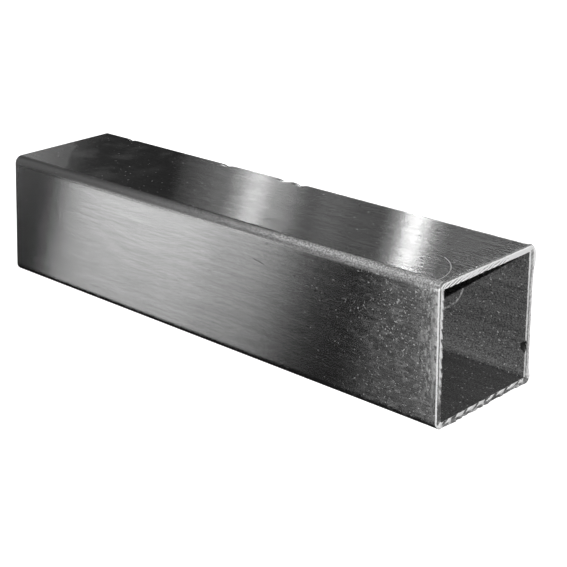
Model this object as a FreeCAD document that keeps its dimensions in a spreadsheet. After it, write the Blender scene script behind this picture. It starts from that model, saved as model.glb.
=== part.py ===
"""Square steel tube: a short length of thin-walled welded tube with both ends sawn square.

The tube is rolled from one steel strip, so it is one piece. Its section is a hollow square with
rounded corners. The strip's two edges meet in the front wall, where the welded seam leaves a low
bead on the inside. The outside edge of each sawn end is broken with a file.

Frame: X runs along the tube, Z is up, and the tube lies on the plane Z = 0. The origin is under
the middle of the tube, at the centre of its bottom face. All sizes are in millimetres.
"""
import FreeCAD, Part
import Sketcher
import math
import os

# The driving dimensions: alias, value in millimetres, and what the value is.
DIMENSIONS = [
    ("side_width", 25.4, "outside width and height of the square section"),
    ("wall_thickness", 1.24, "thickness of the strip that the tube is rolled from"),
    ("inner_bend_radius", 0.26, "inside radius of the four rolled corners"),
    ("tube_length", 111.1, "length from one sawn end to the other"),
    ("bead_width", 1.4, "width of the seam's bead on the inside of the front wall"),
    ("bead_height", 0.2, "how far the trimmed bead stands in from the wall"),
    ("bead_drop", 3.0, "distance of the bead below the middle of the front wall"),
    ("edge_break", 0.22, "bevel on the outside edge of each sawn end"),
]

# Sizes that follow from the driving ones, as formulas on the sheet.
DERIVED = [
    ("outer_bend_radius", "=inner_bend_radius + wall_thickness"),
    ("half_side", "=side_width / 2"),
    ("inner_half", "=half_side - wall_thickness"),
    ("hollow_top", "=side_width - wall_thickness"),
    ("bead_depth", "=wall_thickness / 2"),
    ("bead_radius", "=(bead_width * bead_width / 4 + bead_height * bead_height) / (2 * bead_height)"),
]


def make_sheet(doc):
    """Write the driving and derived dimensions to a spreadsheet and return it."""
    sheet = doc.addObject("Spreadsheet::Sheet", "Dimensions")
    rows = [(name, str(value), note) for name, value, note in DIMENSIONS]
    rows += [(name, formula, "follows from the sizes above") for name, formula in DERIVED]
    for number, (name, content, note) in enumerate(rows, start=1):
        sheet.set(f"A{number}", name)
        sheet.set(f"B{number}", content)
        sheet.set(f"C{number}", note)
        sheet.setAlias(f"B{number}", name)
    doc.recompute()
    return sheet


def section_sketch(body, name):
    """Add an empty sketch on the plane across the tube: its x is the frame's Y, its y the frame's Z."""
    plane = next(p for p in body.Origin.OriginFeatures if p.Role == "YZ_Plane")
    sketch = body.newObject("Sketcher::SketchObject", name)
    sketch.AttachmentSupport = [(plane, "")]
    sketch.MapMode = "FlatFace"
    return sketch


def add_constraint(sketch, kind, *where, name=None, expression=None):
    """Add one constraint to the sketch and bind it to an expression if one is given."""
    index = sketch.addConstraint(Sketcher.Constraint(kind, *where))
    if expression is not None:
        sketch.renameConstraint(index, name)
        sketch.setExpression(f"Constraints.{name}", expression)
    return index


def rounded_square(sketch, prefix, half, low, high, radius, bindings):
    """Draw a square with rounded corners that is symmetric about the sketch's vertical axis.

    half, low, high and radius are starting values. bindings names the expressions for the
    half width, the height of the bottom edge, the height of the top edge and the radius.
    """
    point = FreeCAD.Vector
    first = sketch.GeometryCount
    corners = [
        (point(half - radius, low + radius), -90),
        (point(half - radius, high - radius), 0),
        (point(-half + radius, high - radius), 90),
        (point(-half + radius, low + radius), 180),
    ]
    up = point(0, 0, 1)
    for centre, start in corners:
        arc_start = math.radians(start)
        circle = Part.Circle(centre, up, radius)
        sketch.addGeometry(Part.ArcOfCircle(circle, arc_start, arc_start + math.pi / 2))
    for number in range(4):
        here = sketch.Geometry[first + number]
        following = sketch.Geometry[first + (number + 1) % 4]
        sketch.addGeometry(Part.LineSegment(here.EndPoint, following.StartPoint))
    # The sides in the order that the loop draws them: right, top, left and bottom.
    arcs = [first + number for number in range(4)]
    right, top, left, bottom = [first + 4 + number for number in range(4)]
    for number, side in enumerate((right, top, left, bottom)):
        add_constraint(sketch, "Tangent", arcs[number], 2, side, 1)
        add_constraint(sketch, "Tangent", side, 2, arcs[(number + 1) % 4], 1)
    for side in (right, left):
        add_constraint(sketch, "Vertical", side)
    for side in (top, bottom):
        add_constraint(sketch, "Horizontal", side)
    for arc in arcs[1:]:
        add_constraint(sketch, "Equal", arcs[0], arc)
    half_rule, low_rule, high_rule, radius_rule = bindings
    add_constraint(sketch, "Radius", arcs[0], radius, name=prefix + "Radius", expression=radius_rule)
    add_constraint(sketch, "DistanceX", -1, 1, right, 1, half, name=prefix + "Right", expression=half_rule)
    add_constraint(sketch, "DistanceX", left, 1, -1, 1, half, name=prefix + "Left", expression=half_rule)
    if low_rule is None:
        add_constraint(sketch, "PointOnObject", bottom, 1, -1)
    else:
        add_constraint(sketch, "DistanceY", -1, 1, bottom, 1, low, name=prefix + "Low", expression=low_rule)
    add_constraint(sketch, "DistanceY", -1, 1, top, 1, high, name=prefix + "High", expression=high_rule)


def along_the_tube(body, sketch, name):
    """Pad a section sketch to both sides of the middle, over the whole length of the tube."""
    pad = body.newObject("PartDesign::Pad", name)
    pad.Profile = sketch
    pad.Midplane = True
    pad.setExpression("Length", "Dimensions.tube_length")
    pad.Refine = True
    sketch.Visibility = False
    return pad


def roll_wall(body, sheet):
    """Make the hollow square wall of the tube."""
    sketch = section_sketch(body, "WallSection")
    outer = ("Dimensions.half_side", None, "Dimensions.side_width", "Dimensions.outer_bend_radius")
    inner = (
        "Dimensions.inner_half",
        "Dimensions.wall_thickness",
        "Dimensions.hollow_top",
        "Dimensions.inner_bend_radius",
    )
    side = sheet.side_width
    wall = sheet.wall_thickness
    rounded_square(sketch, "Outer", side / 2, 0, side, sheet.outer_bend_radius, outer)
    rounded_square(sketch, "Inner", side / 2 - wall, wall, side - wall, sheet.inner_bend_radius, inner)
    return along_the_tube(body, sketch, "RolledWall")


def weld_seam(body, sheet):
    """Make the low round bead that the seam leaves on the inside of the front wall."""
    sketch = section_sketch(body, "BeadSection")
    point = FreeCAD.Vector
    face = -sheet.inner_half
    root = face - sheet.bead_depth
    middle = sheet.half_side - sheet.bead_drop
    low, high = middle - sheet.bead_width / 2, middle + sheet.bead_width / 2
    centre = point(face + sheet.bead_height - sheet.bead_radius, middle)
    reach = math.asin(sheet.bead_width / 2 / sheet.bead_radius)
    circle = Part.Circle(centre, point(0, 0, 1), sheet.bead_radius)
    crown = sketch.addGeometry(Part.ArcOfCircle(circle, -reach, reach))
    top = sketch.addGeometry(Part.LineSegment(point(face, high), point(root, high)))
    buried = sketch.addGeometry(Part.LineSegment(point(root, high), point(root, low)))
    bottom = sketch.addGeometry(Part.LineSegment(point(root, low), point(face, low)))
    for first, second in ((crown, top), (top, buried), (buried, bottom), (bottom, crown)):
        add_constraint(sketch, "Coincident", first, 2, second, 1)
    add_constraint(sketch, "Horizontal", top)
    add_constraint(sketch, "Horizontal", bottom)
    add_constraint(sketch, "Vertical", buried)
    add_constraint(sketch, "Vertical", crown, 1, crown, 2)
    sizes = [
        ("Middle", "DistanceY", (-1, 1, crown, 3), middle, "Dimensions.half_side - Dimensions.bead_drop"),
        ("CrownRadius", "Radius", (crown,), sheet.bead_radius, "Dimensions.bead_radius"),
        ("Width", "DistanceY", (buried, 2, buried, 1), sheet.bead_width, "Dimensions.bead_width"),
        ("Foot", "DistanceX", (top, 1, -1, 1), sheet.inner_half, "Dimensions.inner_half"),
        ("Depth", "DistanceX", (top, 2, top, 1), sheet.bead_depth, "Dimensions.bead_depth"),
    ]
    for name, kind, where, value, expression in sizes:
        add_constraint(sketch, kind, *where, value, name=name, expression=expression)
    return along_the_tube(body, sketch, "SeamBead")


def break_sawn_edges(body, tube):
    """Bevel the outside edge of both sawn ends."""
    end_faces = [face for face in tube.Shape.Faces if abs(face.normalAt(0, 0).x) > 0.99]
    rim = [edge for face in end_faces for edge in face.OuterWire.Edges]
    names = [
        f"Edge{number}"
        for number, edge in enumerate(tube.Shape.Edges, start=1)
        if any(edge.isSame(other) for other in rim)
    ]
    bevel = body.newObject("PartDesign::Chamfer", "BrokenEdges")
    bevel.Base = (tube, names)
    bevel.setExpression("Size", "Dimensions.edge_break")
    bevel.Refine = True
    return bevel


def check(doc, bodies):
    """Stop if any object failed to build or any piece isn't one sound solid."""
    failed = [o.Name for o in doc.Objects if {"Invalid", "Error"} & set(o.State)]
    if failed:
        raise RuntimeError(f"these objects failed: {failed}")
    for body in bodies:
        shape = body.Shape
        if shape.isNull() or not shape.isValid() or len(shape.Solids) != 1:
            raise RuntimeError(f"{body.Label} isn't one valid solid")


def main():
    """Build the tube and write it to the parts folder."""
    doc = FreeCAD.newDocument("SquareTube")
    sheet = make_sheet(doc)
    body = doc.addObject("PartDesign::Body", "Tube")
    body.Label = "square_tube"
    doc.recompute()
    roll_wall(body, sheet)
    doc.recompute()
    tube = weld_seam(body, sheet)
    doc.recompute()
    body.Tip = break_sawn_edges(body, tube)
    doc.recompute()
    check(doc, [body])
    os.makedirs("parts", exist_ok=True)
    body.Shape.exportStep(f"parts/{body.Label}.step")
    box = body.Shape.BoundBox
    print(f"{body.Label}: {body.Shape.Volume:.1f} mm3, {len(body.Shape.Faces)} faces")
    print(f"X {box.XMin:.3f} to {box.XMax:.3f}, Y {box.YMin:.3f} to {box.YMax:.3f}, Z {box.ZMin:.3f} to {box.ZMax:.3f}")


main()
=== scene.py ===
"""Looks of a short square steel tube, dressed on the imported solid.

The tube lies on a pale floor in soft studio light. Its walls are finely brushed along their
length, its sawn ends are bright and ragged, and its inside keeps the dull skin of the rolled strip.
Lengths are in metres, in the part's own frame: X runs along the tube, Z is up, and the floor is
the plane Z = 0.
"""
import functools
import logging
import math
from dataclasses import dataclass, field
from enum import Enum

import bpy
import numpy as np
from mathutils import Euler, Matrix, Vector


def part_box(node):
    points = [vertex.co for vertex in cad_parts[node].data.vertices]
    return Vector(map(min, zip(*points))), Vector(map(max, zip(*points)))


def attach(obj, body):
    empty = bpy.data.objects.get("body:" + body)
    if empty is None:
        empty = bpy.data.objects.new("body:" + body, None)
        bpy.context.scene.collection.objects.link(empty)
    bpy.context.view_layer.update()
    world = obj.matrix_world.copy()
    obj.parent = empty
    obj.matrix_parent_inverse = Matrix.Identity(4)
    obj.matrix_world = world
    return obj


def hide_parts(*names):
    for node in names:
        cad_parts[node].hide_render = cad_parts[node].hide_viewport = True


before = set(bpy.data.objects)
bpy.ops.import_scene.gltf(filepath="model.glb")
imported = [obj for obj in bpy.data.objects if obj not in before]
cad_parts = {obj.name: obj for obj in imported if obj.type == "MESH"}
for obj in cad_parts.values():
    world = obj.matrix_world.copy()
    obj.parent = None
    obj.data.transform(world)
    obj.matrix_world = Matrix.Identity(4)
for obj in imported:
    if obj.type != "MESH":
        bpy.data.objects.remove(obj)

LOG = logging.getLogger("square_tube")
NODE = "square_tube"
BODY = "root"
MM = 0.001
TOLERANCE = 1e-6
UV_MAP = "UVMap"
UV_PER_METRE = 4.0


class Wall(Enum):
    """The four walls of the tube, with the angle at which each one's outward normal points.

    The angle is in degrees round X, from +Y towards +Z.
    """

    BACK = 0.0
    TOP = 90.0
    FRONT = 180.0
    BOTTOM = 270.0


class Skin(Enum):
    """The kinds of surface on the tube, in the order of its material slots."""

    WALL = 0
    SAWN = 1
    BORE = 2


@dataclass(frozen=True)
class Section:
    """Sizes of the rolled section.

    Args:
        side: Outside width and height.
        wall: Thickness of the strip.
        inner_bend: Inside radius of the four corners.
        bead_width: Width of the seam's bead on the inside of the front wall.
        bead_height: How far the bead stands in from the wall.
        bead_drop: Distance of the bead below the middle of the wall.
    """

    side: float
    wall: float = 1.24 * MM
    inner_bend: float = 0.26 * MM
    bead_width: float = 1.4 * MM
    bead_height: float = 0.2 * MM
    bead_drop: float = 3.0 * MM

    @property
    def outer_bend(self) -> float:
        """Outside radius of the four corners."""
        return self.inner_bend + self.wall

    @property
    def flat(self) -> float:
        """Width of the flat part of each wall, which is the same inside and outside."""
        return self.side - 2 * self.outer_bend


@dataclass(frozen=True)
class Grid:
    """How finely the tube's skin is divided.

    Args:
        flat_steps: Steps across the flat part of each wall.
        bend_steps: Steps round each corner.
        outer_step: Longest step along the outside.
        bore_step: Longest step along the bore.
        end_step: Shortest step, beside a sawn end.
        face_rows: Rows across the sawn face of the wall.
    """

    flat_steps: int = 84
    bend_steps: int = 8
    outer_step: float = 1.3 * MM
    bore_step: float = 3.0 * MM
    end_step: float = 0.12 * MM
    face_rows: int = 10


class Perimeter:
    """One walk round the section: where each point of the ring stands for any depth in the wall.

    Args:
        section: The section's sizes.
        grid: How finely the ring is divided.
    """

    def __init__(self, section: Section, grid: Grid) -> None:
        """Lay out the ring's points, wall by wall, starting at the lower end of the back wall."""
        self.section = section
        across = np.arange(grid.flat_steps) / grid.flat_steps - 0.5
        round_bend = np.arange(grid.bend_steps) / grid.bend_steps
        base, normal, run = [], [], []
        bend_length = section.outer_bend * math.pi / 2
        start = 0.0
        for wall in Wall:
            angle = math.radians(wall.value)
            out = np.array([math.cos(angle), math.sin(angle)])
            along = np.array([-out[1], out[0]])
            turns = angle + round_bend * math.pi / 2
            base += [out * section.flat / 2 + along * share * section.flat for share in across]
            base += [(out + along) * section.flat / 2] * grid.bend_steps
            normal += [out] * grid.flat_steps + list(np.stack([np.cos(turns), np.sin(turns)], axis=1))
            run += [start + (across + 0.5) * section.flat, start + section.flat + round_bend * bend_length]
            start += section.flat + bend_length
        self.base = np.array(base)
        self.normal = np.array(normal)
        bend = np.concatenate([np.zeros(grid.flat_steps), np.sin(round_bend * math.pi)])
        self.corner = np.tile(bend, len(Wall))
        self.run = np.concatenate(run)
        self.length = start

    @property
    def count(self) -> int:
        """Number of points in the ring."""
        return len(self.run)

    def points(self, depth: np.ndarray) -> np.ndarray:
        """Return the ring's Y, and Z from the floor, with each point at its depth in the wall."""
        reach = self.section.outer_bend - depth
        ring = self.base + self.normal * reach[:, None]
        return ring + np.array([0.0, self.section.side / 2])

    def bead(self) -> np.ndarray:
        """Return how far the seam's bead stands in at each point of the ring."""
        section = self.section
        radius = (section.bead_width**2 / 4 + section.bead_height**2) / (2 * section.bead_height)
        off = self.base[:, 1] + section.bead_drop
        on_front = self.normal[:, 0] < -0.99
        rise = np.sqrt(np.maximum(radius**2 - off**2, 0)) - (radius - section.bead_height)
        return np.where(on_front, np.maximum(rise, 0), 0)


def wobble(along: np.ndarray, cell: float, seed: int) -> np.ndarray:
    """Return smooth noise from 0 to 1 at places along a line, which changes over each cell."""
    knots = np.random.default_rng(seed).random(4096)
    place = along / cell + 2048
    low = np.floor(place).astype(int) % 4095
    part = place - np.floor(place)
    part = part * part * (3 - 2 * part)
    return knots[low] * (1 - part) + knots[low + 1] * part


def bump(value: np.ndarray, middle: float, width: float) -> np.ndarray:
    """Return a smooth hump of height 1."""
    return np.exp(-(((value - middle) / width) ** 2))


def unit(value: np.ndarray) -> np.ndarray:
    """Return the value held between 0 and 1."""
    return np.clip(value, 0, 1)


def largest(*values: np.ndarray) -> np.ndarray:
    """Return the largest of several values at each place."""
    return functools.reduce(np.maximum, values)


@dataclass(frozen=True)
class SawnEnd:
    """One sawn end: what the saw left on the wall's edge.

    Args:
        side: 1 for the near end, at +X, and -1 for the far end.
        seed: Seed of the end's unevenness.
        lean: How far the saw ran out of square, as a slope over the tube's height.
        squeeze: Share of the outward bulge that the saw squeezed out of the outside edge.
        pitches: Spacing of the marks along the top, front and bottom walls.
        slants: Slope of the marks on those walls, over the wall's thickness.
        relief: Depth of the marks.
        lip: How far the burr stands out under the bottom wall.
        nick_height: Height of the large nick in the back wall's inside edge.
        nick_depth: Depth of that nick.
        reaches: How far the torn inside edge, the bulge and the burr reach along the tube.
    """

    side: int
    seed: int
    lean: float = 0.0
    squeeze: float = 1.0
    pitches: tuple[float, float, float] = (1.58 * MM, 1.65 * MM, 2.9 * MM)
    slants: tuple[float, float, float] = (2.9, 1.4, -1.6)
    relief: float = 0.13 * MM
    lip: float = 0.6 * MM
    nick_height: float = 7.1 * MM
    nick_depth: float = 0.7 * MM
    reaches: tuple[float, float, float] = (0.35 * MM, 0.5 * MM, 0.25 * MM)

    def marks(self, ring: Perimeter, share: np.ndarray, place: np.ndarray) -> np.ndarray:
        """Say how deep the saw's marks are on the face.

        Args:
            ring: The walk round the section.
            share: Share of the wall's thickness at each point, from the outside.
            place: Y and Z of each point.

        Returns:
            0 on the smooth face to 1 at the bottom of a mark.
        """
        y, z = place[..., 0], place[..., 1]
        rough = wobble(ring.run, 0.7 * MM, self.seed)[None, :]
        patchy = wobble(ring.run, 2.6 * MM, self.seed + 1)[None, :]
        broken = 0.4 + 0.6 * patchy
        depth = share * ring.section.wall
        on_top, on_front, on_bottom = (
            (at + slant * depth) / pitch for at, slant, pitch in zip((y, z, y), self.slants, self.pitches)
        )
        top = unit((0.5 + 0.5 * np.cos(2 * math.pi * (on_top + 0.5 * rough))) * 2.4 - 0.95)
        top = top * unit(share * 2.2 - 0.3) * broken * (1 - 0.85 * unit((y - 3.5 * MM) / (3.0 * MM)))
        top = np.maximum(top, 0.75 * unit((0.3 - share) * 9.0))
        tooth = np.abs((on_front + 0.4 * rough) % 1.0 - 0.5)
        foot = unit((10.5 * MM - z) / (4 * MM)) * (share > 0.22)
        front = largest(
            unit((share - 0.42 - 1.1 * tooth) * 5.0) * broken,
            bump(share, 0.33, 0.13),
            (0.5 * rough + 0.38) * foot,
        )
        torn = np.abs((on_bottom + 0.35 * rough) % 1.0 - 0.5)
        bottom = np.maximum(
            unit((torn - 0.24) * 9.0) * unit(share * 2.0 - 0.2),
            (0.5 + 0.45 * rough) * unit((0.6 - share) * 6.0),
        )
        bottom = bottom * (1 - bump(y, -12.0 * MM, 0.9 * MM))
        back = largest(
            0.75 * bump(share, 0.55 + 0.1 * (patchy - 0.5), 0.09),
            0.8 * unit((share - 0.86) * 12.0) * (0.4 + 0.6 * rough),
            0.65 * unit(rough * 2.4 - 1.1) * unit(1.4 - share * 2),
            0.34 - 0.4 * bump(z, 24.5 * MM, 4.0 * MM),
        )
        out, up = ring.normal.T[:, None, :]
        return unit(np.where(up > 0.5, top, np.where(up < -0.5, bottom, np.where(out < 0, front, back))))

    def stand_out(self, ring: Perimeter, place: np.ndarray) -> np.ndarray:
        """Say how far the burr on the outside edge stands out along the tube."""
        (y, z), (out, up) = place.T, ring.normal.T
        under = unit((wobble(ring.run, 0.8 * MM, self.seed + 2) - 0.25) * 1.5) * unit(-up * 2 - 0.6)
        high_corner = 0.8 * bump(z, 23.0 * MM, 2.2 * MM) * unit(out)
        low_corner = 0.9 * bump(z, 0.6 * MM, 1.6 * MM) * bump(y, 11.8 * MM, 2.4 * MM)
        return self.lip * largest(under, high_corner, low_corner)

    def swell(self, ring: Perimeter, place: np.ndarray) -> np.ndarray:
        """Say how far the outside edge is squeezed outwards."""
        z = place[:, 1]
        wide = 0.32 + 0.1 * bump(z, 23.0 * MM, 2.0 * MM) + 0.12 * bump(z, 0.8 * MM, 1.6 * MM)
        ragged = 0.08 * wobble(ring.run, 0.6 * MM, self.seed + 3)
        return self.squeeze * (wide * unit(ring.normal[:, 0]) + ragged) * MM

    def bite(self, ring: Perimeter, place: np.ndarray) -> np.ndarray:
        """Say how far the inside edge is torn away towards the outside."""
        nick = bump(place[:, 1], self.nick_height, 0.85 * MM) * unit(ring.normal[:, 0] * 4 - 3)
        return self.nick_depth * nick + 0.11 * MM * unit(wobble(ring.run, 0.4 * MM, self.seed + 4) - 0.45)


def add_object(name: str, data: bpy.types.ID) -> bpy.types.Object:
    """Put a new object with the given data into the scene, at the origin, and return it."""
    made = bpy.data.objects.new(name, data)
    bpy.context.scene.collection.objects.link(made)
    return made


def add_mesh(name: str, points: list, edges: list, faces: list) -> bpy.types.Object:
    """Put a new mesh into the scene, as an object of the same name, and return that."""
    mesh = bpy.data.meshes.new(name)
    mesh.from_pydata(points, edges, faces)
    return add_object(name, mesh)


def add_node(tree: bpy.types.NodeTree, kind: str, inputs: dict, **settings: object) -> bpy.types.Node:
    """Add a node to a tree.

    Args:
        tree: The node tree.
        kind: The node's type name.
        inputs: What goes to each input, as a value or as another node's output.
        settings: Values for the node's own properties.

    Returns:
        The new node.
    """
    made = tree.nodes.new(kind)
    for name, value in settings.items():
        setattr(made, name, value)
    for key, value in inputs.items():
        if isinstance(value, bpy.types.NodeSocket):
            tree.links.new(value, made.inputs[key])
        else:
            made.inputs[key].default_value = value
    return made


@dataclass
class SteelTube:
    """The tube: one closed skin of outer walls, sawn faces and bore.

    Args:
        length: From one sawn end to the other.
        section: The section's sizes.
        ends: The near end and the far end.
        grid: How finely the skin is divided.
        edge_break: Bevel on the outside edge of each sawn end.
        bevel_share: Depth at which the bevel takes its marks, as a share of the wall.
        crease: Angle between two strips of the skin from which their edge is sharp.
        lean_reach: Share of the half length over which the far end's lean fades out.
        dents: X, width and depth of each nick in the back top corner.
    """

    length: float
    section: Section
    ends: tuple[SawnEnd, SawnEnd] = (
        SawnEnd(side=1, seed=11),
        SawnEnd(side=-1, seed=47, lean=0.12, squeeze=0.0),
    )
    grid: Grid = field(default_factory=Grid)
    edge_break: float = 0.22 * MM
    bevel_share: float = 0.16
    crease: float = 0.5
    lean_reach: float = 0.2
    dents: tuple[tuple[float, float, float], ...] = (
        (-45.7 * MM, 0.6 * MM, 0.45 * MM),
        (-16.3 * MM, 0.8 * MM, 0.40 * MM),
        (-0.6 * MM, 0.9 * MM, 0.5 * MM),
        (3.4 * MM, 0.8 * MM, 0.45 * MM),
    )

    def profile(self) -> tuple[np.ndarray, np.ndarray, list[Skin]]:
        """Walk once round the wall in the plane of X and depth.

        Returns:
            X of each row, depth of each row, and the skin of the strip that follows each row.
        """
        half, bevel, wall = self.length / 2, self.edge_break, self.section.wall
        outer = stations(half - bevel, self.grid.end_step, self.grid.outer_step)
        for place, width, _ in self.dents:
            outer = outer[np.abs(outer - place) > 2.4 * width]
            outer = np.sort(np.concatenate([outer, place + np.linspace(-2.1, 2.1, 15) * width]))
        bore = stations(half - bevel, self.grid.end_step, self.grid.bore_step)[::-1]
        face = np.linspace(bevel, wall, self.grid.face_rows)
        rows = [(x, 0.0, Skin.WALL) for x in outer[:-1]]
        rows.append((outer[-1], 0.0, Skin.SAWN))
        rows += [(half, depth, Skin.SAWN) for depth in face[:-1]]
        rows.append((half, face[-1], Skin.BORE))
        rows += [(x, wall, Skin.BORE) for x in bore]
        rows.append((-half, face[-1], Skin.SAWN))
        rows += [(-half, depth, Skin.SAWN) for depth in face[::-1][1:-1]]
        rows.append((-half, face[0], Skin.WALL))
        x, depth, skins = zip(*rows)
        return np.array(x), np.array(depth), list(skins)

    def carve(self, ring: Perimeter, along: np.ndarray, depth: np.ndarray) -> np.ndarray:
        """Work the saw's marks, the burr and the nicks into the skin.

        Args:
            ring: The walk round the section.
            along: X of every point, changed in place.
            depth: Depth of every point, changed in place.

        Returns:
            Painted shade: how dark each point is in a mark and on the torn inside edge, from 0 to 1.
        """
        half, wall = self.length / 2, self.section.wall
        mark_shade = np.zeros_like(along)
        clean = ring.points(np.zeros(ring.count))
        for end in self.ends:
            from_end = half - end.side * along
            on_face = (from_end < TOLERANCE) & (depth >= self.edge_break - TOLERANCE)
            rows = np.flatnonzero(on_face.all(axis=1))
            share = depth[rows] / wall
            marks = end.marks(ring, share, np.broadcast_to(clean, (len(rows), ring.count, 2)))
            outside = depth < 0.5 * wall
            bite, swell, lip = (
                shape(ring, clean) * np.exp(-from_end / reach)
                for shape, reach in zip((end.bite, end.swell, end.stand_out), end.reaches)
            )
            along += end.side * lip * unit(1 - depth / (0.55 * wall))
            depth -= np.where(outside, swell, bite * unit(depth / wall * 3 - 2))
            along[rows] -= end.side * end.relief * marks
            # The marks' depth is also painted dark on the face, as painted shade in the grooves.
            mark_shade[rows] = marks
            at_bevel = np.abs(from_end - self.edge_break) < TOLERANCE
            shoulder = np.flatnonzero((at_bevel & outside).all(axis=1))
            mark_shade[shoulder] = end.marks(ring, np.full((1, ring.count), self.bevel_share), clean[None])
            # The torn inside edge is painted dark as well: painted shade.
            torn = unit(end.bite(ring, clean) / (0.35 * MM) - 0.35) * np.exp(-from_end / (0.3 * MM))
            mark_shade = np.maximum(mark_shade, torn * (depth > 0.6 * wall))
        reach = unit((clean[:, 0] - 10.1 * MM) / (1.4 * MM)) ** 2 * unit(ring.normal[:, 1])
        for place, width, deep in self.dents:
            depth += (depth < 0.1 * MM) * deep * bump(along, place, width) * reach
        return mark_shade

    def run_out(self, ring: Perimeter, along: np.ndarray) -> np.ndarray:
        """Say how far each point moves along X because the far end isn't sawn quite square."""
        share = unit((-along / self.length * 2 - 1 + self.lean_reach) / self.lean_reach)
        height = ring.points(np.zeros(ring.count))[:, 1]
        return self.ends[1].lean * share**2 * (height - self.section.side / 2)

    def build(self) -> bpy.types.Object:
        """Make the tube's mesh.

        Returns:
            The new object, at the origin, with its place in its mesh.
        """
        ring = Perimeter(self.section, self.grid)
        row_x, row_depth, skins = self.profile()
        rows, count = len(row_x), ring.count
        depth = np.repeat(row_depth[:, None], count, axis=1)
        inside = row_depth >= self.section.wall - TOLERANCE
        depth[inside] += ring.bead()
        along = np.repeat(row_x[:, None], count, axis=1)
        mark_shade = self.carve(ring, along, depth)
        shift = self.run_out(ring, along)
        verts = np.zeros((rows, count, 3))
        verts[:, :, 0] = along + shift
        verts[:, :, 1:] = [ring.points(line) for line in depth]
        verts[:, :, 2] = np.maximum(verts[:, :, 2], 0.0)
        row, column = ring_corners(rows, count)
        faces = (row % rows) * count + column % count
        tube = add_mesh("tube_skin", verts.reshape(-1, 3).tolist(), [], faces.tolist())
        mesh = tube.data
        mesh.polygons.foreach_set("material_index", np.repeat([skin.value for skin in skins], count))
        mesh.polygons.foreach_set("use_smooth", np.ones(len(faces), bool))
        self.sharpen(mesh, row_x, row_depth, count)
        self.unwrap(mesh, ring, row_x, row_depth, shift)
        for name, values in (("corner", np.tile(ring.corner, rows)), ("mark_shade", mark_shade.ravel())):
            attribute = mesh.attributes.new(name, "FLOAT", "POINT")
            attribute.data.foreach_set("value", values.astype(np.float32))
        mesh.update()
        return tube

    def sharpen(self, mesh: bpy.types.Mesh, row_x: np.ndarray, row_depth: np.ndarray, count: int) -> None:
        """Keep the wall, the bevel, the sawn face and the bore from shading into each other."""
        way = np.arctan2(np.roll(row_depth, -1) - row_depth, np.roll(row_x, -1) - row_x)
        turn = np.abs(np.angle(np.exp(1j * (way - np.roll(way, 1)))))
        pairs = np.zeros(len(mesh.edges) * 2, np.int32)
        mesh.edges.foreach_get("vertices", pairs)
        first, last = (pairs.reshape(-1, 2) // count).T
        sharp = mesh.attributes.new("sharp_edge", "BOOLEAN", "EDGE")
        sharp.data.foreach_set("value", (first == last) & np.isin(first, np.flatnonzero(turn > self.crease)))

    def unwrap(
        self,
        mesh: bpy.types.Mesh,
        ring: Perimeter,
        row_x: np.ndarray,
        row_depth: np.ndarray,
        shift: np.ndarray,
    ) -> None:
        """Write the UV map: U runs round the section, and V along the tube on the walls and the bore.

        Args:
            mesh: The tube's mesh.
            ring: The walk round the section.
            row_x: X of every row.
            row_depth: Depth of every row.
            shift: How far every point was moved along X.
        """
        rows, count = len(row_x), ring.count
        row, column = ring_corners(rows, count)
        steps = np.hypot(np.diff(row_x, append=row_x[0]), np.diff(row_depth, append=row_depth[0]))
        walk = np.concatenate([[0.0], np.cumsum(steps)])
        heading = np.sign(np.gradient(row_x)) * (np.abs(row_x) < self.length / 2 - TOLERANCE)
        u = np.append(ring.run, ring.length)[column]
        v = walk[row] + (heading[:, None] * shift)[row % rows, column % count]
        layer = mesh.uv_layers.new(name=UV_MAP)
        layer.data.foreach_set("uv", np.stack([u, v], axis=2).astype(np.float32).ravel() * UV_PER_METRE)


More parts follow.
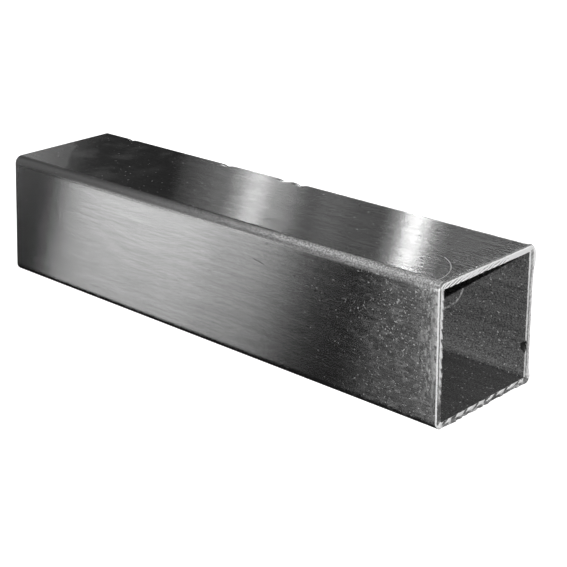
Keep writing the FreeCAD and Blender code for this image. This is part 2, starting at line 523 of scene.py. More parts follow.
@dataclass(frozen=True)
class EdgeSlivers:
    """Thin slivers of metal that the saw left along the edges of both ends.

    Args:
        length: Length of the tube.
        section: The section's sizes.
        grid: How finely the edges are drawn.
        spacing: Distance between slivers.
        kept: Share of the places that have a sliver.
        largest: Width, thickness and length of the largest sliver.
        smallest: The same of the smallest sliver.
        turns: How far a sliver may turn either way about each axis, from pointing out of the end.
        set_in: How far the slivers' roots lie behind the sawn face and the inside edge.
        outer_depth: Depth of their roots at the outside edge, which has slivers at the near end only.
        seed: Seed of their places, sizes and directions.
    """

    length: float
    section: Section
    grid: Grid = field(default_factory=Grid)
    spacing: float = 0.55 * MM
    kept: float = 0.62
    largest: tuple[float, float, float] = (0.11 * MM, 0.11 * MM, 0.5 * MM)
    smallest: tuple[float, float, float] = (0.044 * MM, 0.044 * MM, 0.1 * MM)
    turns: tuple[float, float, float] = (0.5, 0.9, 3.1)
    set_in: float = 0.06 * MM
    outer_depth: float = 0.1 * MM
    seed: int = 5

    def paths(self, side: int) -> bpy.types.Object:
        """Draw the edges of one end, the near one for 1 and the far one for -1, as closed lines."""
        ring = Perimeter(self.section, self.grid)
        inside = self.section.wall - self.set_in
        x = side * (self.length / 2 - self.set_in)
        points, edges = [], []
        for depth in (self.outer_depth, inside) if side > 0 else (inside,):
            start = len(points)
            points += [(x, y, z) for y, z in ring.points(np.full(ring.count, depth))]
            edges += [(start + i, start + (i + 1) % ring.count) for i in range(ring.count)]
        return add_mesh("sawn_edges", points, edges, [])

    def tree(self, side: int, finish: bpy.types.Material) -> bpy.types.NodeTree:
        """Build the node tree that sets slivers along the edges of one end.

        Args:
            side: 1 for the near end and -1 for the far end.
            finish: Material of the slivers.

        Returns:
            The tree, which takes the edges and gives the slivers.
        """
        tree = bpy.data.node_groups.new("edge_slivers", "GeometryNodeTree")
        for name, way in (("Edges", "INPUT"), ("Slivers", "OUTPUT")):
            tree.interface.new_socket(name, in_out=way, socket_type="NodeSocketGeometry")
        edges = tree.nodes.new("NodeGroupInput").outputs[0]

        def add(kind: str, inputs: dict, output: int = 0, **settings: object) -> bpy.types.NodeSocket:
            """Add a node and return one of its outputs."""
            return add_node(tree, kind, inputs, **settings).outputs[output]

        def vary(low: Vector, high: Vector) -> bpy.types.NodeSocket:
            """Return a random vector between two others."""
            ends = {0: low, 1: high, "Seed": self.seed + side}
            return add("FunctionNodeRandomValue", ends, data_type="FLOAT_VECTOR")

        lines = add("GeometryNodeMeshToCurve", {"Mesh": edges})
        outwards, turns = Vector((0.0, side * math.pi / 2, 0.0)), Vector(self.turns)
        spaced = {"Curve": lines, "Length": self.spacing}
        chance = {"Probability": self.kept, "Seed": self.seed + side}
        cone = {"Vertices": 5, "Radius Top": 0.0, "Radius Bottom": 0.5, "Depth": 1.0}
        inputs = {
            "Points": add("GeometryNodeResampleCurve", spaced, mode="LENGTH"),
            "Selection": add("FunctionNodeRandomValue", chance, output=3, data_type="BOOLEAN"),
            "Instance": add("GeometryNodeMeshCone", cone),
            "Rotation": vary(outwards - turns, outwards + turns),
            "Scale": vary(self.smallest, self.largest),
        }
        real = add("GeometryNodeRealizeInstances", {0: add("GeometryNodeInstanceOnPoints", inputs)})
        dressed = add("GeometryNodeSetMaterial", {"Geometry": real, "Material": finish})
        add_node(tree, "NodeGroupOutput", {0: dressed})
        return tree

    def build(self, finish: bpy.types.Material) -> bpy.types.Object:
        """Scatter the slivers along the edges of both ends.

        Args:
            finish: Material of the slivers.

        Returns:
            One object with all of them, at the origin.
        """
        points, faces = [], []
        for side in (1, -1):
            source = self.paths(side)
            source.modifiers.new("slivers", "NODES").node_group = self.tree(side, finish)
            graph = bpy.context.evaluated_depsgraph_get()
            plain = bpy.data.meshes.new_from_object(source.evaluated_get(graph))
            start = len(points)
            points += [tuple(vertex.co) for vertex in plain.vertices]
            faces += [tuple(start + index for index in face.vertices) for face in plain.polygons]
            bpy.data.objects.remove(source)
        points = [(x, y, min(max(z, 0.0), self.section.side)) for x, y, z in points]
        slivers = add_mesh("sawn_slivers", points, [], faces)
        slivers.data.materials.append(finish)
        return slivers


def stations(reach: float, shortest: float, longest: float, growth: float = 1.25) -> np.ndarray:
    """Space points from -reach to reach, closer together beside both ends.

    Args:
        reach: Distance of the end points from the middle.
        shortest: First step, beside each end.
        longest: Longest step.
        growth: How many times longer each step is than the last.

    Returns:
        The points in rising order.
    """
    steps, total = [], 0.0
    step = shortest
    while total < reach:
        steps.append(step)
        total += step
        step = min(step * growth, longest)
    side = np.cumsum(steps) * reach / total
    from_end = reach - np.concatenate([[0.0], side])
    return np.concatenate([-from_end, from_end[::-1][1:]])


def ring_corners(rows: int, count: int) -> tuple[np.ndarray, np.ndarray]:
    """Join rows of points into quads that close up both ways.

    Args:
        rows: Number of rows.
        count: Number of points in a row.

    Returns:
        Row and column of the four corners of each quad, one past the last where it closes up.
    """
    row, column = np.indices((rows, count)).reshape(2, -1, 1)
    return row + np.array([0, 0, 1, 1]), column + np.array([0, 1, 1, 0])


class Shade:
    """Builds one material out of nodes.

    Args:
        name: The material's name.
    """

    def __init__(self, name: str) -> None:
        """Make an empty material that uses nodes."""
        self.material = bpy.data.materials.new(name)
        self.material.use_nodes = True
        self.tree = self.material.node_tree
        self.tree.nodes.clear()

    def node(self, kind: str, inputs: dict | None = None, **settings: object) -> bpy.types.Node:
        """Add a node, as add_node() does, and return it."""
        return add_node(self.tree, kind, inputs or {}, **settings)

    def first(self, kind: str, inputs: dict | None = None, **settings: object) -> object:
        """Add a node and return its first output."""
        return self.node(kind, inputs, **settings).outputs[0]

    def math(self, operation: str, *parts: object) -> object:
        """Join numbers by Math nodes, from left to right, and return the result."""
        def join(left: object, right: object) -> object:
            """Join two numbers."""
            return self.first("ShaderNodeMath", {0: left, 1: right}, operation=operation)

        return functools.reduce(join, parts)

    def times(self, *parts: object) -> object:
        """Return the product of numbers."""
        return self.math("MULTIPLY", *parts)

    def plus(self, *parts: object) -> object:
        """Return the sum of numbers."""
        return self.math("ADD", *parts)

    def minus(self, whole: object, part: object) -> object:
        """Return the difference of two numbers."""
        return self.math("SUBTRACT", whole, part)

    def most(self, *parts: object) -> object:
        """Return the largest of several numbers."""
        return self.math("MAXIMUM", *parts)

    def above(self, value: object, bound: object) -> object:
        """Return 1 where a number is above a bound, and 0 elsewhere."""
        return self.math("GREATER_THAN", value, bound)

    def below(self, value: object, bound: object) -> object:
        """Return 1 where a number is below a bound, and 0 elsewhere."""
        return self.math("LESS_THAN", value, bound)

    def gap(self, value: object, middle: object) -> object:
        """Return how far a number is from another, on either side."""
        return self.first("ShaderNodeMath", {0: self.minus(value, middle)}, operation="ABSOLUTE")

    def vector(self, operation: str, inputs: dict, output: str = "Vector") -> object:
        """Add a Vector Math node and return one of its outputs."""
        return self.node("ShaderNodeVectorMath", inputs, operation=operation).outputs[output]

    def blend(self, factor: object, low: object, high: object) -> object:
        """Mix two numbers by a factor and return the result."""
        return self.first("ShaderNodeMix", {0: factor, 2: low, 3: high}, data_type="FLOAT")

    def ramp(self, value: object, start: object, end: object, low: float = 0.0, high: float = 1.0) -> object:
        """Map a range smoothly onto another and return the result."""
        inputs = {0: value, 1: start, 2: end, 3: low, 4: high}
        return self.first("ShaderNodeMapRange", inputs, interpolation_type="SMOOTHSTEP")

    def place(self, scale: float | tuple[float, float, float]) -> object:
        """Return object coordinates scaled for a pattern, by one number or by one for each axis."""
        source = self.node("ShaderNodeTexCoord").outputs["Object"]
        each = scale if isinstance(scale, tuple) else (scale, scale, scale)
        return self.first("ShaderNodeMapping", {"Vector": source, "Scale": each})

    def noise(self, scale: float | tuple, detail: float = 2.0, roughness: float = 0.5) -> object:
        """Add a noise pattern, of a scale per metre, and return its value."""
        inputs = {"Vector": self.place(scale), "Scale": 1.0, "Detail": detail, "Roughness": roughness}
        return self.first("ShaderNodeTexNoise", inputs)

    def mixed_noise(self, *layers: tuple) -> object:
        """Add up noise patterns, each given by its share and by what noise() takes."""
        return self.plus(*(self.times(self.noise(*layer), share) for share, *layer in layers))

    def unrolled(self, around: float, along: float) -> object:
        """Return places on the unrolled wall, scaled by so many per metre round and along the tube."""
        source = self.first("ShaderNodeUVMap", uv_map=UV_MAP)
        scale = (around / UV_PER_METRE, along / UV_PER_METRE, 1.0)
        return self.first("ShaderNodeMapping", {"Vector": source, "Scale": scale})

    def cells(self, place: object, **settings: object) -> tuple[object, object]:
        """Return the distance from the nearest random cell's point, and a random number of that cell."""
        made = self.node("ShaderNodeTexVoronoi", {"Vector": place, "Scale": 1.0}, **settings)
        return made.outputs["Distance"], self.first("ShaderNodeSeparateColor", {0: made.outputs["Color"]})

    def circle(self, across: object, up: object, centre: tuple[float, float], radius: float) -> object:
        """Return the distance of each place from a circle in a plane."""
        off = [self.minus(at, middle) for at, middle in zip((across, up), centre)]
        reach = self.math("POWER", self.plus(*(self.times(part, part) for part in off)), 0.5)
        return self.gap(reach, radius)

    def grey(self, value: object) -> object:
        """Turn a number into a grey and return it."""
        return self.first("ShaderNodeCombineColor", {0: value, 1: value, 2: value})

    def overlay(self, share: object, under: object, over: object) -> object:
        """Lay one shader over another, by a share, and return the mix."""
        return self.first("ShaderNodeMixShader", {0: share, 1: under, 2: over})

    def corner(self) -> object:
        """Return 1 on the tube's rounded corners and 0 on its flats."""
        share = self.node("ShaderNodeAttribute", attribute_name="corner").outputs["Fac"]
        return self.ramp(share, 0.0, 0.12)

    def axes(self) -> list[object]:
        """Return X, Y and Z of each place in the object's own frame."""
        source = self.node("ShaderNodeTexCoord").outputs["Object"]
        return list(self.node("ShaderNodeSeparateXYZ", {0: source}).outputs)

    def on_front(self) -> object:
        """Return 1 on the flat of the front wall's outside and 0 elsewhere."""
        return self.ramp(self.axes()[1], -12.55 * MM, -12.65 * MM)

    def on_top(self) -> object:
        """Return 1 on the flat of the top wall's outside and 0 elsewhere."""
        return self.ramp(self.axes()[2], 25.3 * MM, 25.38 * MM)

    def finish(self, shader: object) -> bpy.types.Material:
        """Link the surface to the output and return the material."""
        self.node("ShaderNodeOutputMaterial", {"Surface": shader})
        return self.material

    def finish_dull(self, tone: object, metal: float, roughness: float) -> bpy.types.Material:
        """Finish the material as dull metal, of a grey tone, and return it."""
        inputs = {"Base Color": self.grey(tone), "Metallic": metal, "Roughness": roughness}
        return self.finish(self.first("ShaderNodeBsdfPrincipled", inputs))


@dataclass(frozen=True)
class Scratch:
    """One dark scratch on the front wall.

    Args:
        start: X and Z of one end.
        end: X and Z of the other end.
        depth: How dark it is, from 0 to 1.
        width: Its width.
    """

    start: tuple[float, float]
    end: tuple[float, float]
    depth: float
    width: float = 0.16 * MM

    def cover(self, shade: Shade) -> object:
        """Return how much each place is covered by the scratch."""
        x, _, z = shade.axes()
        start = Vector((self.start[0], 0.0, self.start[1]))
        span = Vector((self.end[0], 0.0, self.end[1])) - start
        off = shade.vector("SUBTRACT", {0: shade.first("ShaderNodeCombineXYZ", {0: x, 2: z}), 1: start})
        gone = shade.vector("DOT_PRODUCT", {0: off, 1: span.normalized()}, "Value")
        held = shade.math("MINIMUM", shade.most(gone, 0.0), span.length)
        foot = shade.vector("SCALE", {0: span.normalized(), "Scale": held})
        away = shade.vector("DISTANCE", {0: off, 1: foot}, "Value")
        return shade.ramp(away, self.width, 0.0, 0.0, self.depth)


@dataclass(frozen=True)
class WallMarks:
    """Specks, scratches and wipe marks on the outer walls.

    Args:
        scratches: The scratches on the front wall.
        arc_centre: X and Y of the middle of the arc that is scored in the top wall.
        arc_radius: Radius of that arc.
        arc_start: X at which the arc starts.
        patch_edge: Sum of X and Y on the edge of the wiped corner of the top wall.
        line_y: Y of the line of painted shade along the front of the top wall.
    """

    scratches: tuple[Scratch, ...] = (
        Scratch((14.8 * MM, 19.8 * MM), (17.2 * MM, 19.4 * MM), 0.6),
        Scratch((-5.2 * MM, 11.1 * MM), (-4.0 * MM, 11.3 * MM), 0.15),
        Scratch((-31.4 * MM, 2.8 * MM), (-29.5 * MM, 3.1 * MM), 0.2),
    )
    arc_centre: tuple[float, float] = (44.4 * MM, -11.4 * MM)
    arc_radius: float = 9.8 * MM
    arc_start: float = 48.6 * MM
    patch_edge: float = -49.7 * MM
    line_y: float = -11.35 * MM

    def light(self, shade: Shade) -> object:
        """Return how much each place is covered by pale specks, wipe marks and scoring."""
        return shade.most(self.specks(shade), self.worn_end(shade), self.top_marks(shade))

    def specks(self, shade: Shade) -> object:
        """Return the pale specks, dust on the top wall, and the haze beside the near end."""
        x, top = shade.axes()[0], shade.on_top()
        near = shade.times(shade.ramp(x, 22 * MM, 52 * MM), shade.blend(shade.on_front(), 0.3, 1.0))
        cloud = shade.times(shade.minus(shade.noise(260.0), 0.5), 0.12)
        fleck = shade.plus(shade.noise((2500.0, 2700.0, 2700.0), 1.0, 0.6), cloud)
        over = shade.minus(fleck, shade.blend(near, 0.745, 0.65))
        specks = shade.first("ShaderNodeMath", {0: over, 1: 14.0}, operation="MULTIPLY", use_clamp=True)
        specks = shade.times(specks, shade.blend(top, shade.blend(near, 0.35, 0.9), 0.2))
        dust = shade.times(shade.ramp(shade.noise(1300.0, 1.0, 0.6), 0.69, 0.77, 0.0, 0.3), top)
        haze = shade.ramp(shade.noise((650.0, 1300.0, 1300.0), 4.0, 0.75), 0.48, 0.66, 0.0, 0.25)
        return shade.most(specks, dust, shade.times(haze, shade.ramp(x, 24 * MM, 50 * MM), near))

    def worn_end(self, shade: Shade) -> object:
        """Return the smears and the worn band on the front wall beside the near end."""
        x, _, z = shade.axes()
        smear = shade.ramp(shade.noise((1900.0, 1200.0, 650.0), 4.0, 0.75), 0.45, 0.62)
        low = shade.ramp(z, 1 * MM, 11 * MM, 0.3, 1.0)
        smear = shade.times(smear, shade.ramp(x, 49.5 * MM, 55 * MM, 0.0, 0.72), low)
        worn = shade.ramp(shade.noise((2000.0, 2000.0, 1300.0), 2.0, 0.7), 0.36, 0.6, 0.35, 1.0)
        low = shade.ramp(z, 5 * MM, 12 * MM, 0.25, 0.9)
        worn = shade.times(worn, shade.ramp(x, 53.6 * MM, 55.2 * MM), low)
        return shade.times(shade.most(smear, worn), shade.on_front())

    def top_marks(self, shade: Shade) -> object:
        """Return the arc scored in the top wall, its wiped corner and the bloom beside that."""
        x, y, _ = shade.axes()
        arc = shade.ramp(shade.circle(x, y, self.arc_centre, self.arc_radius), 0.14 * MM, 0.04 * MM, 0.0, 0.5)
        arc = shade.times(arc, shade.above(x, self.arc_start))
        over = shade.plus(x, y, shade.times(shade.noise(300.0, 3.0), 3 * MM))
        patch = shade.ramp(over, self.patch_edge + 0.5 * MM, self.patch_edge - 0.3 * MM, 0.0, 0.09)
        rim = shade.ramp(shade.gap(over, self.patch_edge), 1.3 * MM, 0.1 * MM, 0.0, 0.1)
        bloom = shade.ramp(shade.noise(170.0, 3.0), 0.44, 0.66, 0.0, 0.05)
        bloom = shade.times(bloom, shade.ramp(x, -20 * MM, -32 * MM))
        return shade.times(shade.most(arc, patch, rim, bloom), shade.on_top())

    def dark(self, shade: Shade) -> object:
        """Return how much dark pits, scratches and a painted shade line on the top wall cover each place."""
        x, y, z = shade.axes()
        distance, chance = shade.cells(shade.unrolled(700.0, 450.0), voronoi_dimensions="2D")
        kept = shade.below(chance, shade.ramp(x, 0.0, 40 * MM, 0.01, 0.12))
        pits = shade.times(shade.ramp(distance, 0.18, 0.08), shade.ramp(x, 0.0, 40 * MM, 0.25, 0.6), kept)
        scratched = shade.most(*(scratch.cover(shade) for scratch in self.scratches))
        # Painted shade: a dark line where the top flat turns into the front corner.
        line = shade.times(
            shade.ramp(shade.gap(y, self.line_y), 0.22 * MM, 0.08 * MM, 0.0, 0.55),
            shade.ramp(z, 25.2 * MM, 25.3 * MM),
            shade.ramp(x, -35 * MM, -15 * MM),
            shade.ramp(x, 34 * MM, 52 * MM, 1.0, 0.1),
        )
        return shade.most(pits, shade.times(scratched, shade.on_front()), line)


@dataclass(frozen=True)
class BrushedWall:
    """Cold-rolled outer wall, finely brushed along the tube, with rough rolled corners.

    Args:
        tone: Base colour of the brushed flats, the same in all three channels.
        corner_tones: Base colour of the corners at the far end and at the near end.
        roughness: Mean roughness of the brushed metal.
        stretch: How far the brushing spreads the gloss across its lines, from 0 to 1.
        corner_roughness: Roughness of the corners, which the brush doesn't reach.
        contrast: How much the brushed lines differ in tone.
        pale: Base colour and roughness of the light marks.
        black: Base colour and roughness of the dark marks.
        marks: Specks, scratches and wipe marks.
    """

    tone: float = 0.55
    corner_tones: tuple[float, float] = (0.08, 0.24)
    roughness: float = 0.232
    stretch: float = 0.832
    corner_roughness: float = 0.62
    contrast: float = 0.105
    pale: tuple[float, float] = (0.95, 0.6)
    black: tuple[float, float] = (0.1, 0.5)
    marks: WallMarks = field(default_factory=WallMarks)

    def material(self) -> bpy.types.Material:
        """Build the wall's material."""
        shade = Shade("brushed_wall")
        kinds = {"vector_type": "VECTOR", "convert_from": "OBJECT", "convert_to": "WORLD"}
        inputs = {
            "Color": shade.grey(self.brushed_tone(shade)),
            "Roughness": self.roughness,
            "Anisotropy": self.stretch,
            "Tangent": shade.first("ShaderNodeVectorTransform", {0: (1.0, 0.0, 0.0)}, **kinds),
        }
        walls = shade.first("ShaderNodeBsdfAnisotropic", inputs, distribution="BECKMANN")
        walls = shade.overlay(self.corner_share(shade), walls, self.rolled_corner(shade))
        for cover, (tone, roughness) in ((self.marks.light, self.pale), (self.marks.dark, self.black)):
            inputs = {"Color": (tone, tone, tone, 1.0), "Roughness": roughness}
            walls = shade.overlay(cover(shade), walls, shade.first("ShaderNodeBsdfAnisotropic", inputs))
        return shade.finish(walls)

    def brushed_tone(self, shade: Shade) -> object:
        """Return the tone of the brushed metal, which changes from line to line."""
        x = shade.axes()[0]
        part = shade.mixed_noise(
            (0.5, (160.0, 4300.0, 4300.0), 2.0, 0.6),
            (0.4, (1600.0, 4300.0, 4300.0), 1.0, 0.6),
            (0.1, (20.0, 900.0, 900.0), 3.0),
        )
        front_swing = shade.ramp(x, 15 * MM, 50 * MM, self.contrast, 3.2 * self.contrast)
        top_swing = shade.ramp(x, 46 * MM, 54 * MM, 1.7 * self.contrast, 4.8 * self.contrast)
        swing = shade.blend(shade.on_top(), front_swing, top_swing)
        swing = shade.times(shade.ramp(part, 0.35, 0.65, -1.0, 1.0), swing)
        return shade.times(shade.plus(swing, 1.0), self.tone)

    def corner_share(self, shade: Shade) -> object:
        """Return the unbrushed corners, with a soft edge on the front wall, and its foot as painted shade."""
        x, y, z = shade.axes()
        front, middle = shade.below(y, -11 * MM), 12.7 * MM
        upper = shade.times(shade.above(z, middle), shade.below(z, 24.6 * MM), front)
        lower = shade.times(shade.below(z, middle), front)
        edge = shade.ramp(z, shade.ramp(x, -20 * MM, 15 * MM, 23.1 * MM, 23.7 * MM), 24.4 * MM)
        share = shade.blend(upper, shade.corner(), edge)
        # The bottom strip of the front wall takes the dark corner shader: painted shade beside the floor.
        return shade.blend(lower, share, shade.ramp(z, 1.0 * MM, 0.35 * MM))

    def rolled_corner(self, shade: Shade) -> object:
        """Return the shader of the corners, which are dull, and grainy towards the near end."""
        x, _, z = shade.axes()
        # Painted highlight: the top of the corner is made lighter, more so towards the near end.
        worn = shade.times(shade.ramp(z, 24.5 * MM, 25.35 * MM), shade.ramp(x, -10 * MM, 25 * MM, 0.5, 1.7))
        grain = shade.ramp(shade.noise((3600.0, 4200.0, 4200.0), 1.0, 0.6), 0.35, 0.65)
        vary = shade.times(shade.minus(grain, 0.5), shade.ramp(x, -20 * MM, 15 * MM, 0.12, 0.9))
        tone = shade.times(
            shade.ramp(x, -45 * MM, 55 * MM, *self.corner_tones),
            # Painted shade: the bottom corner is darker beside the floor.
            shade.ramp(z, 1 * MM, 3 * MM, 0.35, 1.0),
            shade.plus(worn, 1.0),
            shade.plus(vary, 1.0),
        )
        inputs = {"Color": shade.grey(tone), "Roughness": self.corner_roughness}
        return shade.first("ShaderNodeBsdfAnisotropic", inputs, distribution="GGX")


@dataclass(frozen=True)
class SawnFace:
    """Bright sawn face of the wall's edge, with painted shade in the teeth's marks and on the torn inside
    edge.

    Args:
        bright: Base colour of the smooth face, the same in all three channels.
        dark: Base colour of the painted shade in the marks.
        roughness: Roughness of the metal.
        metal: How metallic it is.
    """

    bright: float = 0.92
    dark: float = 0.1
    roughness: float = 0.5
    metal: float = 0.15

    def material(self) -> bpy.types.Material:
        """Build the sawn face's material."""
        shade = Shade("sawn_face")
        # Darkens the face by the painted shade of the marks, with a little noise.
        mark_shade = shade.node("ShaderNodeAttribute", attribute_name="mark_shade").outputs["Fac"]
        scatter = shade.times(shade.minus(shade.noise(3000.0, 3.0, 0.7), 0.5), 0.9)
        share = shade.ramp(shade.plus(mark_shade, scatter), 0.15, 0.85)
        return shade.finish_dull(shade.blend(share, self.bright, self.dark), self.metal, self.roughness)


@dataclass(frozen=True)
class TornMetal:
    """Grey torn metal of the slivers.

    Args:
        dark: Darkest base colour, the same in all three channels.
        bright: Brightest base colour.
        roughness: Roughness of the metal.
        metal: How metallic it is.
    """

    dark: float = 0.2
    bright: float = 0.9
    roughness: float = 0.45
    metal: float = 0.6

    def material(self) -> bpy.types.Material:
        """Build the slivers' material."""
        shade = Shade("torn_metal")
        tone = shade.ramp(shade.noise(1500.0), 0.35, 0.65, self.dark, self.bright)
        return shade.finish_dull(tone, self.metal, self.roughness)


@dataclass(frozen=True)
class DullBore:
    """Dull grey, pitted skin of the strip inside the tube.

    Args:
        tone: Base colour, the same in all three channels.
        roughness: Roughness of the metal.
        metal: How metallic it is.
        score_centre: X and Z of the middle of the arc that is scored in the back wall.
        score_radius: Radius of that arc.
        score_top: Height at which the arc ends.
        hollow: X and Z of the torn hollow in the back wall.
        hollow_size: Its reach along X and Z.
    """

    tone: float = 0.13
    roughness: float = 0.6
    metal: float = 0.35
    score_centre: tuple[float, float] = (35.27 * MM, 15.9 * MM)
    score_radius: float = 7.08 * MM
    score_top: float = 14.3 * MM
    hollow: tuple[float, float] = (55.5 * MM, 6.95 * MM)
    hollow_size: tuple[float, float] = (1.0 * MM, 1.1 * MM)

    def material(self) -> bpy.types.Material:
        """Build the bore's material."""
        shade = Shade("dull_bore")
        mottle = shade.mixed_noise(
            (0.75, (3000.0, 4000.0, 4000.0), 1.0, 0.6),
            (0.25, (60.0, 900.0, 900.0), 3.0),
        )
        tone = shade.ramp(mottle, 0.34, 0.66, self.tone * 0.45, self.tone * 1.6)
        distance, chance = shade.cells(shade.place((420.0, 620.0, 620.0)))
        pits = shade.most(shade.ramp(distance, 0.08, 0.26, 0.25, 1.0), shade.above(chance, 0.12))
        flecks = shade.ramp(shade.noise((2200.0, 3000.0, 3000.0), 1.0, 0.6), 0.68, 0.75, 0.0, 0.7)
        # The rolled factor is painted shade and light: darker floor, corners and crease, paler foot of the
        # back wall.
        tone = shade.most(shade.times(tone, pits, self.rolled(shade)), flecks, self.scoring(shade))
        # The torn factor paints the hollow at the back wall's nick nearly black: painted shade.
        return shade.finish_dull(shade.times(tone, self.torn(shade)), self.metal, self.roughness)

    def rolled(self, shade: Shade) -> object:
        """Return painted shade and light: a darker floor and corners, and a paler foot of the back wall."""
        _, y, z = shade.axes()
        floor = shade.ramp(z, 1.35 * MM, 1.6 * MM, 0.8, 1.0)
        # Painted light on the foot of the back wall, and painted shade in the crease where it meets the
        # floor.
        foot = shade.times(shade.ramp(z, 2.4 * MM, 8 * MM, 0.42, 0.0), shade.ramp(y, 10.8 * MM, 11.2 * MM))
        line = shade.times(shade.ramp(z, 1.9 * MM, 2.5 * MM, 0.36, 0.0), shade.ramp(y, 10.6 * MM, 11.2 * MM))
        return shade.times(shade.minus(shade.plus(floor, foot), line), shade.blend(shade.corner(), 1.0, 0.65))

    def torn(self, shade: Shade) -> object:
        """Return near 0, painted shade, in the torn hollow by the back wall's near end, and 1 elsewhere."""
        x, y, z = shade.axes()
        parts = [shade.times(shade.noise(900.0, 3.0), 2.6)]
        for at, middle, size in zip((x, z), self.hollow, self.hollow_size):
            off = shade.math("DIVIDE", shade.minus(at, middle), size)
            parts.append(shade.times(off, off))
        return shade.most(shade.ramp(shade.plus(*parts), 1.9, 2.4, 0.08, 1.0), shade.below(y, 11 * MM))

    def scoring(self, shade: Shade) -> object:
        """Return the tone of the broken arc scored in the back wall, and 0 elsewhere."""
        x, y, z = shade.axes()
        off_arc = shade.circle(x, z, self.score_centre, self.score_radius)
        return shade.times(
            shade.ramp(off_arc, 0.26 * MM, 0.08 * MM),
            shade.ramp(shade.noise(1300.0), 0.38, 0.58, 0.2, 0.6),
            shade.below(z, self.score_top),
            shade.above(x, self.score_centre[0]),
            shade.above(y, 11.3 * MM),
        )


@dataclass(frozen=True)
class Viewpoint:
    """The camera, at the photograph's viewing angle.

    Args:
        location: Place of the camera.
        azimuth: Degrees round Z from which it looks, from -Y towards +X.
        elevation: Degrees by which it looks down.
        roll: Degrees by which it is turned about its own axis.
        lens: Focal length in millimetres.
        sensor: Width of the square frame in millimetres.
        clip: Nearest and farthest distance that it shows.
    """

    location: tuple[float, float, float] = (178.5 * MM, -173.1 * MM, 103.5 * MM)
    azimuth: float = 44.285
    elevation: float = 21.113
    roll: float = -1.028
    lens: float = 89.0
    sensor: float = 36.0
    clip: tuple[float, float] = (0.01, 10.0)

    def place(self) -> None:
        """Make the scene's camera."""
        camera = add_object("camera", bpy.data.cameras.new("camera"))
        camera.data.lens = self.lens
        camera.data.sensor_width = self.sensor
        camera.data.clip_start, camera.data.clip_end = self.clip
        camera.location = self.location
        turn = Euler((math.radians(90 - self.elevation), 0.0, math.radians(self.azimuth)))
        roll = Euler((0.0, 0.0, math.radians(self.roll))).to_matrix()
        camera.rotation_euler = (turn.to_matrix() @ roll).to_euler()
        bpy.context.scene.camera = camera


@dataclass(frozen=True)
class Softbox:
    """One upright softbox beside the tube, whose face is brighter in some strips than in others.

    Args:
        name: The softbox's name.
        edges: Degrees round Z of the strips' sides, from +X towards +Y.
        levels: Brightness of each strip, where white paper in full light is 1.
        low: Height of its lower edge.
        high: Height of its upper edge.
        distance: Distance from the middle of the tube.
    """

    name: str
    edges: tuple[float, ...]
    levels: tuple[float, ...]
    low: float = 0.0
    high: float = 1.2
    distance: float = 0.9

    def place(self) -> None:
        """Stand the softbox so that it faces the tube, as one lamp for each strip."""
        for start, end, level in zip(self.edges, self.edges[1:], self.levels):
            data = bpy.data.lights.new(self.name, "AREA")
            data.shape = "RECTANGLE"
            data.size = 2 * self.distance * math.tan(math.radians(end - start) / 2)
            data.size_y = self.high - self.low
            data.energy = level * math.pi * data.size * data.size_y
            lamp = add_object(self.name, data)
            bearing = math.radians((start + end) / 2)
            back = Vector((math.cos(bearing), math.sin(bearing), 0.0))
            lamp.location = back * self.distance + Vector((0.0, 0.0, (self.low + self.high) / 2))
            lamp.rotation_euler = back.to_track_quat("Z", "Y").to_euler()
        LOG.info("softbox %s: %d strips", self.name, len(self.levels))


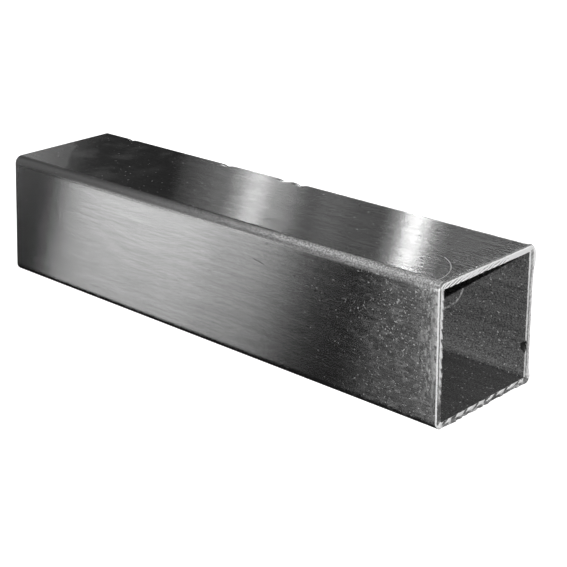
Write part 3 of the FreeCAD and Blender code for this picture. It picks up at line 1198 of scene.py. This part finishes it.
@dataclass(frozen=True)
class Studio:
    """Floor, lamps and the dark tent that steel is photographed in.

    Args:
        softboxes: The lamps.
        floor_reach: Distance of the floor's edges from the tube.
        floor_grey: Grey of the floor, as it lights the tube.
        floor_white: Grey of the floor, as it is seen, without its glow.
        floor_glow: Share of the floor's white that a shadow leaves.
        tent_radius: Distance of the tent's wall from the tube.
        tent_sides: Number of flat sides of that wall.
        tent_lift: Height of the cloth that lies on the floor.
        tent_grey: Grey level of the tent and of the cloth on the floor, as the metal sees them.
        tent_bands: Where along the tube's direction the tent starts and ends to change, and by how
            much, so that the metal isn't black on the sides where the lamps don't show in it.
    """

    softboxes: tuple[Softbox, ...]
    floor_reach: float = 3.0
    floor_grey: float = 0.3
    floor_white: float = 0.8
    floor_glow: float = 0.9
    tent_radius: float = 1.3
    tent_sides: int = 48
    tent_lift: float = 0.02 * MM
    tent_grey: float = 0.015
    tent_bands: tuple[tuple[float, float, float], ...] = (
        (-0.42, -0.14, 0.75),
        (-0.1, 0.04, -0.45),
        (0.08, 0.22, 0.45),
        (0.35, 0.6, -0.4),
    )

    def world(self) -> None:
        """Make the white surroundings, which light nothing by themselves."""
        world = bpy.data.worlds.new("studio")
        bpy.context.scene.world = world
        world.use_nodes = True
        tree = world.node_tree
        tree.nodes.clear()
        rays = add_node(tree, "ShaderNodeLightPath", {}).outputs
        inputs = {0: rays["Is Camera Ray"], 1: rays["Is Glossy Ray"]}
        seen = add_node(tree, "ShaderNodeMath", inputs, operation="MAXIMUM").outputs[0]
        white = add_node(tree, "ShaderNodeBackground", {"Color": (1.0, 1.0, 1.0, 1.0), "Strength": seen})
        add_node(tree, "ShaderNodeOutputWorld", {0: white.outputs[0]})

    def floor(self) -> None:
        """Make the floor, plain white to the camera and in gloss and glass, and grey to other rays."""
        reach = self.floor_reach
        corners = [(-reach, -reach, 0.0), (reach, -reach, 0.0), (reach, reach, 0.0), (-reach, reach, 0.0)]
        floor = add_mesh("floor", corners, [], [(0, 1, 2, 3)])
        shade = Shade("floor")
        grey, lit = (
            shade.first("ShaderNodeBsdfDiffuse", {"Color": (tone, tone, tone, 1.0)})
            for tone in (self.floor_grey, self.floor_white)
        )
        rays = shade.node("ShaderNodeLightPath").outputs
        seen = shade.most(*(rays[f"Is {kind} Ray"] for kind in ("Camera", "Glossy", "Transmission")))
        glow = shade.first("ShaderNodeEmission", {"Strength": self.floor_glow})
        white = shade.first("ShaderNodeAddShader", {0: lit, 1: glow})
        floor.data.materials.append(shade.finish(shade.overlay(seen, grey, white)))

    def tent(self) -> None:
        """Make the tent, dark but for its bands and all dark on the floor, which only gloss sees."""
        sides, radius = self.tent_sides, self.tent_radius
        turns = [2 * math.pi * side / sides for side in range(sides)]
        ring = [(radius * math.cos(turn), radius * math.sin(turn)) for turn in turns]
        points = [(x, y, height) for height in (self.tent_lift, radius) for x, y in ring]
        walls = [(i, (i + 1) % sides, sides + (i + 1) % sides, sides + i) for i in range(sides)]
        ends = [tuple(range(sides)), tuple(range(sides, 2 * sides))]
        tent = add_mesh("dark_tent", points, [], walls + ends)
        shade = Shade("dark_cloth")
        raised = shade.above(shade.axes()[2], MM)
        centred = shade.node("ShaderNodeTexCoord").outputs["Object"]
        along = shade.first("ShaderNodeSeparateXYZ", {0: shade.vector("NORMALIZE", {0: centred})})
        bands = (shade.times(shade.ramp(along, start, end, 0.0, step), raised)
                 for start, end, step in self.tent_bands)
        glow = shade.first("ShaderNodeEmission", {"Strength": shade.plus(self.tent_grey, *bands)})
        tent.data.materials.append(shade.finish(glow))
        for rays in ("camera", "diffuse", "transmission", "shadow"):
            setattr(tent, f"visible_{rays}", False)

    def build(self) -> None:
        """Make everything round the tube."""
        self.world()
        self.floor()
        self.tent()
        for softbox in self.softboxes:
            softbox.place()


SOFTBOXES = (
    Softbox("front_left", (206, 214, 218.75, 220.2, 223, 225, 226.5, 228, 229.5, 231),
            (4.0, 0.1, 5.4, 5.4, 4.9, 4.7, 2.85, 2.8, 1.3)),
    Softbox("front_fill", (235.5, 238, 258), (0.8, 1.1)),
    Softbox("back_strip", (100, 123.15, 123.95, 125, 125.75, 128.2, 130.2),
            (2.8, 7.2, 25.0, 5.8, 1.5, 2.05), high=0.2),
    Softbox("back_panel", (130.2, 130.9, 131.6, 132.4, 133.5, 134.2, 135.2, 136.1, 137),
            (3.8, 7.2, 9.2, 17.8, 9.0, 3.7, 2.3, 1.2), high=0.16),
    Softbox("far_left", (147.5, 152), (0.85,), low=0.1, high=0.4),
    Softbox("left", (152, 206), (0.11,)),
    Softbox("end_key", (12, 40, 68), (3.1, 3.1), high=0.3),
    Softbox("bore_fill", (309.5, 310.5), (17280.0,), low=0.408, high=0.418),
)


def main() -> None:
    """Build the tube, dress it and light it."""
    logging.basicConfig(level=logging.INFO, format="%(name)s: %(message)s")
    bpy.context.scene.view_settings.view_transform = "Standard"
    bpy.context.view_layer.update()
    low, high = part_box(NODE)
    Viewpoint().place()
    section = Section(side=high.z - low.z)
    skin = SteelTube(length=high.x - low.x, section=section).build()
    finishes = {Skin.WALL: BrushedWall(), Skin.SAWN: SawnFace(), Skin.BORE: DullBore()}
    for part in Skin:
        skin.data.materials.append(finishes[part].material())
    slivers = EdgeSlivers(length=high.x - low.x, section=section).build(TornMetal().material())
    for piece in (skin, slivers):
        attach(piece, BODY)
        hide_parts(NODE)
        LOG.info("piece %s: %d faces", piece.name, len(piece.data.polygons))
    Studio(softboxes=SOFTBOXES).build()


if __name__ == "__main__":
    main()
